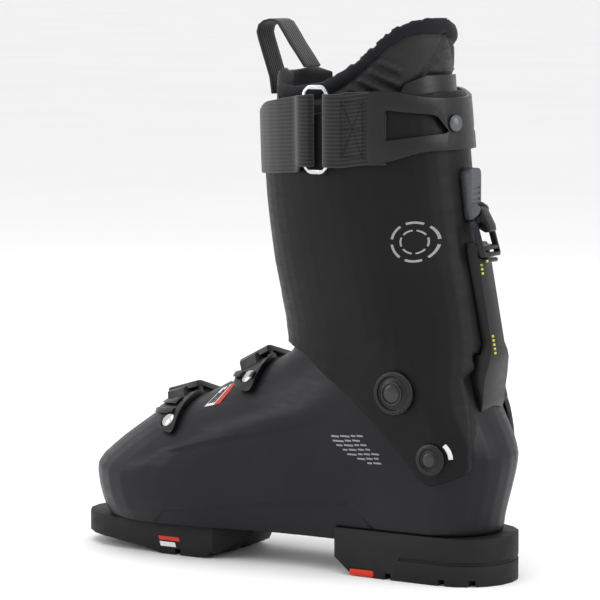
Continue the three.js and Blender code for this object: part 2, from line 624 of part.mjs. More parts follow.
const LATCH = { x: -28, z: 232, half: 4.2, arm: 9, ear: 1.6, face: -25, pinR: 1.3, bailR: 1.2, play: 0.2 };
const latchEar = LATCH.half + 0.4 + LATCH.ear;
let bracket = prism(round([[-latchEar, 224], [latchEar, 224], [latchEar, 258], [-latchEar, 258]], 5, 3),
  frame([0, 0, 0], AXIS.y, AXIS.z), LATCH.face, 0);
for (const z of [238, 241.5, 245]) {
  bracket = bracket.subtract(box(LATCH.face - 1, LATCH.face + 0.8, -4.6, 4.6, z, z + 1.6));
}
for (const side of [-1, 1]) {
  const y0 = side > 0 ? LATCH.half + 0.4 : -latchEar;
  bracket = bracket.add(sideCut(round([[-20, 226], [-20, 237], [-26, 236.6], [-30.6, 234], [-30.6, 230],
    [-26, 226.6]],
    1.6, 2), y0, y0 + LATCH.ear));
}
bracket = bracket.add(sideCut(disc(LATCH.x, LATCH.z, LATCH.pinR, 12), -latchEar,
  latchEar)).subtract(C.near(SEAT));
const latchPin = [LATCH.x - 1.5, LATCH.z - LATCH.arm];
const leverSide = round([[-26.2, 233.4], [-29, 234.3], [-31, 232.5], [-36.4, 223], [-37, 219.4],
  [-34, 218.2],
  [-28, 221], [-26, 226]], 1, 2);
add("latch_bracket", bracket, "grey");
add("latch_lever", sideCut(leverSide, -LATCH.half, LATCH.half)
  .subtract(sideCut(disc(LATCH.x, LATCH.z, LATCH.pinR + LATCH.play, 14), -20, 20))
  .subtract(sideCut(disc(...latchPin, LATCH.bailR + LATCH.play, 14), -20, 20)), "trim");
const latchRail = BLADE.half + 0.5;
let latchBail = sideCut(disc(...latchPin, LATCH.bailR, 12), -latchRail - 1.6, latchRail + 1.6);
for (const side of [-1, 1]) {
  const y0 = side > 0 ? latchRail : -latchRail - 1.6;
  latchBail = latchBail.add(sideCut(round([[-28, 224.5], [-31, 224.5], [-36.6, 206], [-36.6, 203.4],
    [-33.4, 203.4],
    [-28.2, 220]], 1, 2), y0, y0 + 1.6));
}
latchBail = latchBail.add(sideCut(round([[-36.6, 203.4], [-33.6, 203.4], [-33.6, 206.2], [-36.6, 206.2]],
  0.8, 2),
  -latchRail - 1.6, latchRail + 1.6));
add("latch_bail", latchBail, "grey");

// ---- index mark, spoiler, strap and yoke ----
add("pivot_index", skin(C, levels(66, 100, 6), SEAT, SEAT + 0.8,
  sideCut(band(SWING.x, SWING.z, 11.8, 14, 133, 176, 8),
  0, 80), 24), "white");
const SPOILER = 3;
const strapZs = levels(240, 320, 20);
const deep = -CUFF_WALL - SEAT - 0.4;
const spoilerSide = (g) => sideCut([[-30, 262 - g], [9 + g, 262 - g], [13 + g, 300], [9 + g, 310 + g],
  [0, 315 + g],
  [-30, 317 + g]], -60, 60);
add("spoiler", skin(C, strapZs, deep - SPOILER, deep, spoilerSide(0), 24), "trim");
const strapSide = [[24.6, 260.5], [46, 257.5], [72, 254.5], [113, 251.5], [140, 251], [140, 291],
  [117, 292],
  [105, 298], [72, 303], [46, 305.3], [24.6, 306]];
add("strap_band", skin(C, strapZs, 0.4, 2.6, sideCut(strapSide, -90, 90), 18), "webbing");
const yokeSide = [[24, 261], [24, 306], [10, 306], [-6, 302], [-30, 300], [-30, 270], [-6, 269], [10, 263]];
const yokeWindow = round([[-15, 280], [14, 275.4], [14, 294.6], [-9.5, 291.4]], 2.5, 3);
const yoke = skin(C, strapZs, 0.4, 3.4, sideCut(round(yokeSide, 4, 3), -90,
  90).subtract(sideCut(yokeWindow, -90, 90)),
  20);
const RING = { rear: 47.8, front: 66.7, low: 254.4, high: 309.4, wire: 2.6, corner: 4.5 };
const ringOutline = (g) => [[RING.rear + g, RING.low + RING.corner],
  [RING.rear + RING.corner, RING.low + g],
  [RING.front - RING.corner, RING.low + g], [RING.front - g, RING.low + RING.corner],
  [RING.front - g, RING.high - RING.corner], [RING.front - RING.corner, RING.high - g],
  [RING.rear + RING.corner, RING.high - g], [RING.rear + g, RING.high - RING.corner]];
add("strap_slider", skin(C, strapZs, 2.9, 5.4, sideCut(round(ringOutline(0), 2, 2), 0, 90)
  .subtract(sideCut(ringOutline(RING.wire), 0, 90)), 24), "steel");
const RIVET_Z = 285.7;
const rivetAt = [C.c.rear(RIVET_Z) - 2, 10.5, RIVET_Z];
const rivetOut = new THREE.Vector3(-0.96, 0.28, 0);
const rivetSeat = turned([[0, -9], [2.7, -9], [2.7, 0], [6, 0], [6, 9], [0, 9]], rivetAt, rivetOut, 20);
add("strap_yoke", yoke.subtract(rivetSeat), "trim");
add("strap_rivet", turned([[0, -2.2], [2.4, -2.2], [2.4, 0.3], [5.4, 0.3], [5.2, 1.4], [3.6, 2.6],
  [0, 3.2]],
  rivetAt, rivetOut, 20), "steel");

// ---- liner ----
const footOut = -SHELL_WALL - LINER_CLEAR;
const FOOT_TOP = 120;
const footZs = [BOARD_TOP + SEAT, ...levels(56, FOOT_TOP, 9)];
const footIn = [BOARD_TOP + LINER_PAD, ...levels(62, FOOT_TOP + 7, 11)];
add("liner_foot", S.solid(footZs, footOut, 14).subtract(S.solid(footIn, footOut - LINER_PAD, 10)), "liner");
const legTop = [[-40, 326], [-40, FOOT_TOP + 6], [6, FOOT_TOP + 6], [60, 131], [92, 134], [130, 136],
  [130, 312],
  [82, 308], [60, 311], [45, 318.4], [34, 326.6], [26, 334.6], [18, 342.7], [9.4, 348.8], [2, 351],
    [-8, 350]];
const legZs = [...levels(120, 180, 15), ...levels(215, 352, 34)];
let leg = L.solid(legZs, 0, 14).subtract(L.solid([110, ...legZs.slice(1), 360], -LEG_PAD, 10))
  .intersect(sideCut(legTop, -80, 80));
leg = leg.subtract(C.solid(levels(240, 328, 22), deep + 1, 12).subtract(C.solid(levels(238, 330, 23),
  deep - SPOILER - 0.8, 12)).intersect(spoilerSide(0.8)));
// The collar drops towards the outer side.
leg = leg.subtract(prism([[-60, 332], [60, 368], [60, 400], [-60, 400]], frame([0, 0, 0], AXIS.y, AXIS.z),
  -80, 80));
const TONGUE_HALF = 24;
leg = leg.subtract(box(70, 140, -TONGUE_HALF - 1, TONGUE_HALF + 1, 100, 360));
add("liner_leg", leg, "liner");
const tongueSide = [[70, 161], [100, 162], [130, 164], [130, 300], [118, 312], [112, 317], [103, 319],
  [92, 316], [82, 308],
  [74, 300]];
add("tongue", skin(L, [...levels(130, 180, 12), ...levels(215, 352, 34)], -9, -0.4,
  sideCut(tongueSide, -TONGUE_HALF,
  TONGUE_HALF), 12), "liner");
const loopStrip = [[117.2, 300], [119.8, 300], [121, 311], [126, 325], [131, 340], [129, 346],
  [121, 349.4], [114, 348.6],
  [104, 334], [92.6, 318.4], [95, 317.8], [106, 332.4], [115, 345.6], [120.6, 346.8], [127.4, 344],
    [128.4, 340],
  [124, 326.6], [118.6, 312.4], [117.2, 306]];
add("pull_loop", sideCut(loopStrip, -10, 10), "webbing");

export default group;
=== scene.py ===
"""Alpine ski boot, right foot: moulded shell and cuff, buckles, strap, rear blade and padded liner."""
import json
import math

import bmesh
import bpy
import numpy as np
from mathutils import Matrix, Vector
from mathutils.bvhtree import BVHTree


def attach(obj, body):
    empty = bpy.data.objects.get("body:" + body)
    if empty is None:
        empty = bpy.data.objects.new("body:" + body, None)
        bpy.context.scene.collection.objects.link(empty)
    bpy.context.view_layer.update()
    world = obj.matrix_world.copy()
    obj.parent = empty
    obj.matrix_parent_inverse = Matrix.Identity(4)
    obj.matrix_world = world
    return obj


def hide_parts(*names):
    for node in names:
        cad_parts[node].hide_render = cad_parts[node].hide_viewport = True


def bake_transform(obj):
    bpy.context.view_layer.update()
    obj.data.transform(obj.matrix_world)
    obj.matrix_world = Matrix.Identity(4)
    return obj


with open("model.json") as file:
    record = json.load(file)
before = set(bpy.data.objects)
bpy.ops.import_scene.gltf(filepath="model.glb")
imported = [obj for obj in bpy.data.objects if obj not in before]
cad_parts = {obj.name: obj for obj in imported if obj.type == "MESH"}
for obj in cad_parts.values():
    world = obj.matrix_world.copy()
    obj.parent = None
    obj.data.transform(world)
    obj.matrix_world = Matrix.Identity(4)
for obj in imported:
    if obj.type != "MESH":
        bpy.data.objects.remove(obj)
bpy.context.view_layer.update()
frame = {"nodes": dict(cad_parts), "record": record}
bpy.ops.object.select_all(action="DESELECT")
MM = 0.001

# ---- camera ----
AIM = Vector((0.1034, 0.0, 0.1684))
AZIMUTH, ELEVATION = math.radians(211.6), math.radians(6.16)
away = Vector((
    math.sin(AZIMUTH) * math.cos(ELEVATION),
    -math.cos(AZIMUTH) * math.cos(ELEVATION),
    math.sin(ELEVATION),
))
bpy.ops.object.camera_add(location=AIM + 2.0 * away)
camera = bpy.context.object
camera.rotation_euler = (-away).to_track_quat("-Z", "Y").to_euler()
camera.data.sensor_width = 36.0
camera.data.lens = 186.4
camera.data.clip_start = 0.05
bpy.context.scene.camera = camera
bpy.context.scene.view_settings.view_transform = "Standard"


# ---- materials ----
def linear(code, alpha=1.0):
    """sRGB hex value as linear colour."""
    parts = [int(code[i:i + 2], 16) / 255 for i in (1, 3, 5)]
    return [c / 12.92 if c <= 0.04045 else ((c + 0.055) / 1.055) ** 2.4 for c in parts] + [alpha]


def put(tree, kind, settings=None, values=None, links=None):
    """Adds one node with its settings, its fixed inputs and the sockets that feed it."""
    made = tree.nodes.new(kind)
    for key, value in (settings or {}).items():
        setattr(made, key, value)
    for key, value in (values or {}).items():
        made.inputs[key].default_value = value
    for key, source in (links or {}).items():
        tree.links.new(source, made.inputs[key])
    return made


def start(name, rough, metal=0.0, ior=1.5, coat=0.0, sheen=0.0, glint=0.22):
    """New material with its shader, and the fixed values set on the shader's own sockets."""
    made = bpy.data.materials.new(name)
    made.use_nodes = True
    tree = made.node_tree
    shader = tree.nodes["Principled BSDF"]
    shader.inputs["Roughness"].default_value = rough
    shader.inputs["Metallic"].default_value = metal
    shader.inputs["Coat Weight"].default_value = coat
    shader.inputs["Coat Roughness"].default_value = 0.35
    shader.inputs["Sheen Weight"].default_value = sheen
    shader.inputs["Sheen Roughness"].default_value = 0.5
    if not metal:
        shader.inputs["IOR"].default_value = ior
        shader.inputs["Specular IOR Level"].default_value = glint
    return made, tree, shader


def moulded_plastic(name, dark, light, rough, grain, depth, ior=1.5, coat=0.0, glint=0.22):
    """Injection-moulded plastic: fine spark-eroded grain, slow tone drift and scuffed patches."""
    made, tree, shader = start(name, rough, ior=ior, coat=coat, glint=glint)
    place = put(tree, "ShaderNodeTexCoord").outputs["Object"]
    # Flow of the melt: patches about 60 mm across shift the tone a little.
    flow = put(tree, "ShaderNodeTexNoise", values={"Scale": 1 / 0.06, "Detail": 3.0}, links={"Vector": place})
    tone = put(tree, "ShaderNodeValToRGB", links={"Fac": flow.outputs["Fac"]})
    tone.color_ramp.elements[0].position, tone.color_ramp.elements[1].position = 0.35, 0.7
    tone.color_ramp.elements[0].color, tone.color_ramp.elements[1].color = linear(dark), linear(light)
    tree.links.new(tone.outputs["Color"], shader.inputs["Base Color"])
    # Handling marks: stretched, 12 mm by 3 mm, seen only as changes of gloss.
    lay = put(tree, "ShaderNodeMapping", values={"Scale": (1.0, 1.0, 4.0)}, links={"Vector": place})
    rub = put(
        tree, "ShaderNodeTexNoise", values={"Scale": 1 / 0.012, "Detail": 6.0, "Roughness": 0.65},
        links={"Vector": lay.outputs["Vector"]},
    )
    gloss = put(
        tree, "ShaderNodeMapRange",
        values={"From Min": 0.3, "From Max": 0.75, "To Min": rough - 0.05, "To Max": rough + 0.09},
        links={"Value": rub.outputs["Fac"]},
    )
    tree.links.new(gloss.outputs["Result"], shader.inputs["Roughness"])
    # Mould grain, its real size in metres given by grain.
    pits = put(
        tree, "ShaderNodeTexVoronoi", {"feature": "SMOOTH_F1"}, {"Scale": 1 / grain, "Smoothness": 0.6},
        {"Vector": place},
    )
    bump = put(
        tree, "ShaderNodeBump", values={"Strength": depth, "Distance": 0.0002},
        links={"Height": pits.outputs["Distance"]},
    )
    tree.links.new(bump.outputs["Normal"], shader.inputs["Normal"])
    return made


# Polyether polyurethane of the lower shell: bluish charcoal with a satin skin.
shell_plastic = moulded_plastic(
    "moulded_polyurethane_charcoal", "#121216", "#1a1a20", 0.40, 0.0007, 0.18, glint=0.2
)
# The cuff's stiffer grade: neutral near-black, a little flatter.
cuff_plastic = moulded_plastic(
    "moulded_polyurethane_black", "#0a0a0b", "#111112", 0.44, 0.0006, 0.16, glint=0.16
)
# Hard rubbery sole blocks: deep black, rough, scuffed.
sole_rubber = moulded_plastic("moulded_tpu_sole", "#111112", "#1a1a1c", 0.6, 0.0012, 0.45)
# Glass-filled nylon of buckles, caps and blade: black with a slightly sharper shine.
nylon_black = moulded_plastic(
    "glass_filled_nylon_black", "#0d0d0e", "#161618", 0.36, 0.0005, 0.22, glint=0.3
)
# Polished cap centres and the groove rings of the main caps: a sharp glint, and a black deeper than the caps'
# own nylon. The deep black is partly the inserts' own colour and partly painted shade, standing in for the
# shade on the dished centre and in the groove.
cap_black_and_painted_shade = moulded_plastic("polished_nylon_black_painted_shade", "#050506", "#0a0a0b", 0.22, 0.0005, 0.05, glint=0.6)
# Red nylon wear plate and inserts: saturated, satin.
nylon_red = moulded_plastic("moulded_nylon_red", "#b02a17", "#cf3a20", 0.4, 0.0008, 0.2)
# Board under the foot: plain grey foamed plastic.
board_plastic = moulded_plastic("foamed_board_grey", "#46484b", "#5a5c60", 0.7, 0.0018, 0.5)
# Pad-printed ink: thin, pale, slightly uneven.
ink_white = moulded_plastic("pad_print_white", "#c9c9c6", "#dededb", 0.55, 0.0004, 0.1)
ink_grey = moulded_plastic("pad_print_grey", "#77787b", "#909194", 0.55, 0.0004, 0.1)
ink_lime = moulded_plastic("pad_print_lime", "#a9ad3c", "#c2c552", 0.55, 0.0004, 0.1)


def worked_metal(name, dark, light, rough, line, along=(1.0, 1.0, 12.0)):
    """Metal with fine parallel tool marks and a little uneven tarnish."""
    made, tree, shader = start(name, rough, metal=1.0)
    place = put(tree, "ShaderNodeTexCoord").outputs["Object"]
    lay = put(tree, "ShaderNodeMapping", values={"Scale": along}, links={"Vector": place})
    marks = put(
        tree, "ShaderNodeTexNoise", values={"Scale": 1 / line, "Detail": 4.0},
        links={"Vector": lay.outputs["Vector"]},
    )
    tone = put(tree, "ShaderNodeValToRGB", links={"Fac": marks.outputs["Fac"]})
    tone.color_ramp.elements[0].color, tone.color_ramp.elements[1].color = linear(dark), linear(light)
    tree.links.new(tone.outputs["Color"], shader.inputs["Base Color"])
    gloss = put(
        tree, "ShaderNodeMapRange", values={"To Min": rough - 0.06, "To Max": rough + 0.1},
        links={"Value": marks.outputs["Fac"]},
    )
    tree.links.new(gloss.outputs["Result"], shader.inputs["Roughness"])
    bump = put(
        tree, "ShaderNodeBump", values={"Strength": 0.12, "Distance": 0.0001},
        links={"Height": marks.outputs["Fac"]},
    )
    tree.links.new(bump.outputs["Normal"], shader.inputs["Normal"])
    return made


# Drawn and tumbled steel wire and rivets: bright, slightly brushed.
steel_bright = worked_metal("tumbled_stainless_steel", "#a9abae", "#d3d5d7", 0.24, 0.002)
# Die-cast, bead-blasted aluminium: mid grey and soft.
alloy_cast = worked_metal("blasted_cast_aluminium", "#4c4e51", "#6d6f72", 0.42, 0.0015, (1.0, 1.0, 1.0))
# Black anodised aluminium of the wire bails.
alloy_black = worked_metal("anodised_aluminium_black", "#26272a", "#3a3b3f", 0.34, 0.002)

# Liner cover: embossed black leather, grained 1.4 mm. Where the stored knit value is high it turns to
# near-black navy knit with loops 1.6 mm apart, coarser than real so that they show.
liner_cover, tree, shader = start("leather_and_knit_liner_cover", 0.5, sheen=0.06)
place = put(tree, "ShaderNodeTexCoord").outputs["Object"]
seam_at = put(tree, "ShaderNodeAttribute", {"attribute_name": "knit"}).outputs["Fac"]
knit_part = put(
    tree, "ShaderNodeMapRange", values={"From Min": 0.45, "From Max": 0.55}, links={"Value": seam_at}
).outputs["Result"]
loops = put(
    tree, "ShaderNodeTexVoronoi", {"feature": "F1"}, {"Scale": 1 / 0.0016, "Randomness": 0.35},
    {"Vector": place},
)
cells = put(
    tree, "ShaderNodeTexVoronoi", {"feature": "DISTANCE_TO_EDGE"}, {"Scale": 1 / 0.0014}, {"Vector": place}
)
drift = put(tree, "ShaderNodeTexNoise", values={"Scale": 1 / 0.02, "Detail": 3.0}, links={"Vector": place})
hide = put(tree, "ShaderNodeValToRGB", links={"Fac": drift.outputs["Fac"]})
hide.color_ramp.elements[0].color, hide.color_ramp.elements[1].color = linear("#141416"), linear("#222224")
knit_tone = put(tree, "ShaderNodeValToRGB", links={"Fac": loops.outputs["Distance"]})
knit_tone.color_ramp.elements[0].color = linear("#15161c")
knit_tone.color_ramp.elements[1].color = linear("#0a0b0f")
cover = put(
    tree, "ShaderNodeMix", {"data_type": "RGBA"},
    links={"Factor": knit_part, 6: hide.outputs["Color"], 7: knit_tone.outputs["Color"]},
)
tree.links.new(cover.outputs[2], shader.inputs["Base Color"])
matt = put(
    tree, "ShaderNodeMapRange", values={"To Min": 0.48, "To Max": 0.88}, links={"Value": knit_part}
)
tree.links.new(matt.outputs["Result"], shader.inputs["Roughness"])
edge = put(
    tree, "ShaderNodeMapRange", values={"From Max": 0.18}, links={"Value": cells.outputs["Distance"]}
)
relief = put(
    tree, "ShaderNodeMix", {"data_type": "FLOAT"},
    links={"Factor": knit_part, 2: edge.outputs["Result"], 3: loops.outputs["Distance"]},
)
bump = put(
    tree, "ShaderNodeBump", values={"Strength": 0.35, "Distance": 0.0003}, links={"Height": relief.outputs[0]}
)
tree.links.new(bump.outputs["Normal"], shader.inputs["Normal"])

# Woven polyester webbing on the strip's own UV, in metres: ribs 2.4 mm apart run along it and threads 1.1 mm
# apart cross it. Its colour carries painted shade and light: darker in the hollows of the weave and lighter
# on the raised threads, from the same height that drives the bump.
webbing, tree, shader = start("woven_polyester_webbing", 0.78, sheen=0.25)
strip = put(tree, "ShaderNodeUVMap", {"uv_map": "strip"}).outputs["UV"]
parts = put(tree, "ShaderNodeSeparateXYZ", links={"Vector": strip})
rib = put(
    tree, "ShaderNodeMath", {"operation": "MULTIPLY"}, {1: 2 * math.pi / 0.0024}, {0: parts.outputs["Y"]}
)
rib = put(tree, "ShaderNodeMath", {"operation": "SINE"}, links={0: rib.outputs["Value"]})
weft = put(
    tree, "ShaderNodeMath", {"operation": "MULTIPLY"}, {1: 2 * math.pi / 0.0011}, {0: parts.outputs["X"]}
)
weft = put(tree, "ShaderNodeMath", {"operation": "SINE"}, links={0: weft.outputs["Value"]})
weave = put(
    tree, "ShaderNodeMath", {"operation": "MULTIPLY_ADD"}, {1: 0.35},
    {0: weft.outputs["Value"], 2: rib.outputs["Value"]},
)
tone = put(
    tree, "ShaderNodeMapRange", values={"From Min": -1.2, "From Max": 1.2},
    links={"Value": weave.outputs["Value"]},
)
# Painted shade and highlight: the weave's height darkens its hollows and lightens its raised threads.
shade = put(tree, "ShaderNodeValToRGB", links={"Fac": tone.outputs["Result"]})
shade.color_ramp.elements[0].color, shade.color_ramp.elements[1].color = linear("#0e0e10"), linear("#2a2a2c")
tree.links.new(shade.outputs["Color"], shader.inputs["Base Color"])
bump = put(
    tree, "ShaderNodeBump", values={"Strength": 0.6, "Distance": 0.0005},
    links={"Height": tone.outputs["Result"]},
)
tree.links.new(bump.outputs["Normal"], shader.inputs["Normal"])

# Bonded nylon sewing thread: black with a small sheen.
thread = moulded_plastic("bonded_nylon_thread", "#0c0c0d", "#151516", 0.5, 0.0004, 0.3)

# Painted studio floor: pale, matt.
floor_paint, tree, shader = start("matt_studio_paint", 0.8)
place = put(tree, "ShaderNodeTexCoord").outputs["Object"]
mottle = put(tree, "ShaderNodeTexNoise", values={"Scale": 1.5}, links={"Vector": place})
tone = put(tree, "ShaderNodeValToRGB", links={"Fac": mottle.outputs["Fac"]})
tone.color_ramp.elements[0].color, tone.color_ramp.elements[1].color = linear("#eeeeee"), linear("#f4f4f4")
tree.links.new(tone.outputs["Color"], shader.inputs["Base Color"])


# ---- studio ----
bpy.ops.mesh.primitive_plane_add(size=400.0)
floor = bpy.context.object
floor.name = "studio_floor"
floor.data.materials.append(floor_paint)

world = bpy.data.worlds.new("studio")
bpy.context.scene.world = world
world.use_nodes = True
world.node_tree.nodes["Background"].inputs["Color"].default_value = (1.0, 1.0, 1.0, 1.0)
world.node_tree.nodes["Background"].inputs["Strength"].default_value = 1.0


def softbox(name, place, aim, size, power):
    """Large soft lamp facing a point of the boot."""
    bpy.ops.object.light_add(type="AREA", location=place)
    lamp = bpy.context.object
    lamp.name = name
    lamp.data.shape = "RECTANGLE"
    lamp.data.size, lamp.data.size_y = size
    lamp.data.energy = power
    lamp.rotation_euler = (Vector(aim) - Vector(place)).to_track_quat("-Z", "Y").to_euler()
    return lamp


softbox("overhead", (0.2, 0.3, 1.9), (0.1, 0.0, 0.15), (1.6, 1.6), 16)
softbox("left_side", (1.5, 1.3, 0.9), (0.1, 0.0, 0.15), (0.7, 1.2), 12)
softbox("heel_side", (-1.4, -0.2, 0.8), (-0.02, 0.0, 0.12), (0.5, 1.0), 9)


# ---- hard parts ----
def twin(node, name):
    """A merged copy of a part's solid, at the origin, to be worked on."""
    mesh = frame["nodes"][node].data.copy()
    mesh.name = name
    made = bpy.data.objects.new(name, mesh)
    bpy.context.scene.collection.objects.link(made)
    made.data.materials.clear()
    only(made)
    bpy.ops.object.mode_set(mode="EDIT")
    bpy.ops.mesh.select_all(action="SELECT")
    bpy.ops.mesh.remove_doubles(threshold=0.00002)
    bpy.ops.object.mode_set(mode="OBJECT")
    return made


def only(piece):
    """Selects one piece and nothing else."""
    bpy.ops.object.select_all(action="DESELECT")
    bpy.context.view_layer.objects.active = piece
    piece.select_set(True)


def use(piece, kind, **settings):
    """Adds a modifier with its settings and applies it."""
    only(piece)
    made = piece.modifiers.new(kind.lower(), kind)
    for key, value in settings.items():
        setattr(made, key, value)
    bpy.ops.object.modifier_apply(modifier=made.name)


BODY_OF = {node: body for body, nodes in frame["record"]["behaviour"]["bodies"].items() for node in nodes}


def place_on(piece, node, finish):
    """Gives a finished piece its material and lets it stand for its solid."""
    piece.data.materials.clear()
    piece.data.materials.append(finish)
    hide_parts(node)
    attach(piece, BODY_OF[node])


def machined(node, finish, edge=0.0005, turn=30):
    """Part with its facets merged, its edges rounded and its curves shaded smooth."""
    piece = twin(node, node + "_fine")
    bpy.ops.object.mode_set(mode="EDIT")
    bpy.ops.mesh.select_all(action="SELECT")
    bpy.ops.mesh.dissolve_limited(angle_limit=math.radians(1.5))
    bpy.ops.object.mode_set(mode="OBJECT")
    use(piece, "BEVEL", width=edge, segments=2, limit_method="ANGLE", angle_limit=math.radians(turn))
    only(piece)
    bpy.ops.object.shade_smooth_by_angle(angle=math.radians(turn + 8))
    place_on(piece, node, finish)
    return piece


def shell_moulded(node, finish, voxel, passes, shape=None, ratio=0.6):
    """Large moulded shell: facets melted into one flowing skin, then the moulded lines pressed in."""
    piece = twin(node, node + "_fine")
    piece.data.remesh_voxel_size = voxel
    bpy.ops.object.voxel_remesh()
    use(piece, "SMOOTH", factor=0.5, iterations=passes)
    if shape:
        co = np.empty(len(piece.data.vertices) * 3)
        no = np.empty(len(piece.data.vertices) * 3)
        piece.data.vertices.foreach_get("co", co)
        piece.data.vertices.foreach_get("normal", no)
        co, no = co.reshape(-1, 3), no.reshape(-1, 3)
        co += no * shape(co, no)[:, None]
        piece.data.vertices.foreach_set("co", co.ravel())
        piece.data.update()
    use(piece, "DECIMATE", ratio=ratio)
    only(piece)
    bpy.ops.object.shade_smooth_by_angle(angle=math.radians(40))
    place_on(piece, node, finish)
    return piece


def ramp(value, low, high):
    """Smooth step from 0 at low to 1 at high."""
    t = np.clip((value - low) / (high - low), 0, 1)
    return t * t * (3 - 2 * t)


def line_height(x, points):
    """Height of a line drawn through (x, z) points, toe end last."""
    xs, zs = zip(*sorted(points))
    return np.interp(x, xs, zs)


CREASE = [(0.0555, 0.0993), (0.0776, 0.0938), (0.1317, 0.0812), (0.1695, 0.0716)]
ARCH = [(0.017, 0.0198), (0.0456, 0.0465), (0.0689, 0.0444), (0.1747, 0.0331), (0.19, 0.02)]
LINE_DEPTH = 0.0013


def shell_lines(co, no):
    """Moulded lines of the lower shell: the side crease and the shallow arch panel."""
    x, y, z = co.T
    inner = ramp(no[:, 1], 0.3, 0.6) * ramp(y, 0.02, 0.03)
    crease = line_height(x, CREASE)
    over = z - crease
    side = ramp(over, -0.0007, 0.0007) * (1 - ramp(over, 0.004, 0.022))
    side = side * ramp(x, 0.05, 0.08) * (1 - ramp(x, 0.16, 0.185))
    arch = line_height(x, ARCH)
    panel = 1 - ramp(z - arch, -0.001, 0.001)
    return inner * LINE_DEPTH * (side - panel)


shell = shell_moulded("lower_shell", shell_plastic, 0.0014, 8, shell_lines)
cuff = shell_moulded("cuff", cuff_plastic, 0.0014, 8)

for node in ("heel_sole", "toe_sole"):
    machined(node, sole_rubber, 0.0008)
for node in ("toe_glide_plate", "heel_insert"):
    machined(node, nylon_red, 0.0005)
for node in ("heel_screw_front", "heel_screw_rear", "toe_screw"):
    machined(node, steel_bright, 0.0003)
machined("strap_rivet", alloy_cast, 0.0003)
machined("strap_slider", steel_bright, 0.0009)
machined("boot_board", board_plastic, 0.0008)
for side in ("medial", "lateral"):
    machined("main_pivot_" + side, nylon_black, 0.0004, 40)
    machined("lower_pivot_" + side, nylon_black, 0.0004, 40)


def cap_ring(name, node, inner, outer, rise, finish):
    """Ring, or low domed disc where inner is 0, lying on a pivot cap's flat face."""
    box = [Vector(c) for c in frame["nodes"][node].bound_box]
    side = 1 if box[0].y + box[6].y > 0 else -1
    face = max(side * c.y for c in box) * side
    centre = Vector(((box[0].x + box[6].x) / 2, face, (box[0].z + box[6].z) / 2))
    if inner:
        bpy.ops.mesh.primitive_torus_add(
            major_radius=(inner + outer) / 2, minor_radius=(outer - inner) / 2,
            major_segments=48, minor_segments=10,
        )
    else:
        bpy.ops.mesh.primitive_uv_sphere_add(segments=40, ring_count=14, radius=outer)
    ring = bpy.context.object
    ring.name = name
    ring.data.transform(Matrix.Diagonal((1, 1, rise / outer if not inner else 1, 1)))
    ring.data.transform(Matrix.Translation(centre) @ Matrix.Rotation(math.radians(90), 4, "X"))
    ring.data.materials.append(finish)
    bpy.ops.object.shade_smooth()
    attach(ring, BODY_OF[node])


# Groove rings and centre domes take the deeper black, which is partly painted shade.
for place_name in ("medial", "lateral"):
    cap_ring("main_cap_groove_" + place_name, "main_pivot_" + place_name, 0.0064, 0.0072, 0, cap_black_and_painted_shade)
    cap_ring("main_cap_centre_" + place_name, "main_pivot_" + place_name, 0, 0.0052, 0.0005, cap_black_and_painted_shade)
    cap_ring("lower_cap_centre_" + place_name, "lower_pivot_" + place_name, 0, 0.0042, 0.0005, cap_black_and_painted_shade)
machined("pivot_index", ink_white, 0.0001)
for node in ("rear_blade", "spoiler", "strap_yoke", "latch_lever"):
    machined(node, nylon_black, 0.0007)
machined("latch_bracket", alloy_cast, 0.0005)
machined("latch_bail", alloy_black, 0.0004)
for name in ("toe_buckle", "instep_buckle", "low_cuff_buckle", "high_cuff_buckle"):
    machined(name + "_base", nylon_black, 0.0005)
    machined(name + "_lever", nylon_black, 0.0006)
    machined(name + "_ladder", nylon_black, 0.0005)
    machined(name + "_bail", alloy_black, 0.0005)
    machined(name + "_rivet", steel_bright, 0.0003)


# ---- soft goods ----
def padded_from(nodes, name, voxel, shrink, cap, pin_below):
    """Padded piece from its solids: closed over their joint, then puffed by air pressure in a cloth run."""
    parts = [twin(node, name + "_part") for node in nodes]
    only(parts[0])
    for part in parts[1:]:
        part.select_set(True)
    if len(parts) > 1:
        bpy.ops.object.join()
    piece = parts[0]
    piece.name = name
    grow = 0.0035 if len(parts) > 1 else 0.0
    if grow:
        use(piece, "DISPLACE", strength=grow, mid_level=0.0)
    piece.data.remesh_voxel_size = voxel
    only(piece)
    bpy.ops.object.voxel_remesh()
    use(piece, "SMOOTH", factor=0.5, iterations=6)
    use(piece, "DISPLACE", strength=-grow - shrink, mid_level=0.0)
    still = np.array([v.co[:] for v in piece.data.vertices])
    held = piece.vertex_groups.new(name="held")
    held.add([i for i, c in enumerate(still) if c[2] < pin_below], 1.0, "REPLACE")
    cloth = piece.modifiers.new("cloth", "CLOTH")
    cloth.settings.use_pressure = True
    cloth.settings.uniform_pressure_force = 4.0
    cloth.settings.effector_weights.gravity = 0.0
    cloth.settings.vertex_group_mass = "held"
    for step in range(1, 21):
        bpy.context.scene.frame_set(step)
    only(piece)
    bpy.ops.object.modifier_apply(modifier="cloth")
    bpy.context.scene.frame_set(1)
    puffed = np.array([v.co[:] for v in piece.data.vertices])
    move = puffed - still
    size = np.linalg.norm(move, axis=1, keepdims=True)
    puffed = still + move * np.minimum(1.0, cap / np.maximum(size, 1e-9))
    piece.data.vertices.foreach_set("co", puffed.ravel())
    piece.data.update()
    piece.vertex_groups.clear()
    use(piece, "SUBSURF", levels=1, render_levels=1)
    only(piece)
    bpy.ops.object.shade_smooth()
    return piece


RIM = [
    (-0.008, 0.350), (0.002, 0.351), (0.0094, 0.3488), (0.018, 0.3427), (0.026, 0.3346),
    (0.034, 0.3266), (0.045, 0.3184), (0.060, 0.311), (0.082, 0.308), (0.13, 0.312),
]
COLLAR_X, COLLAR_A, COLLAR_B = 0.047, 0.052, 0.043
ROLL, SEAM_AT, SEAM_WIDE = 0.0095, 0.0105, 0.0011
RIB_PITCH, STEP_PITCH = 0.0088, 0.0065


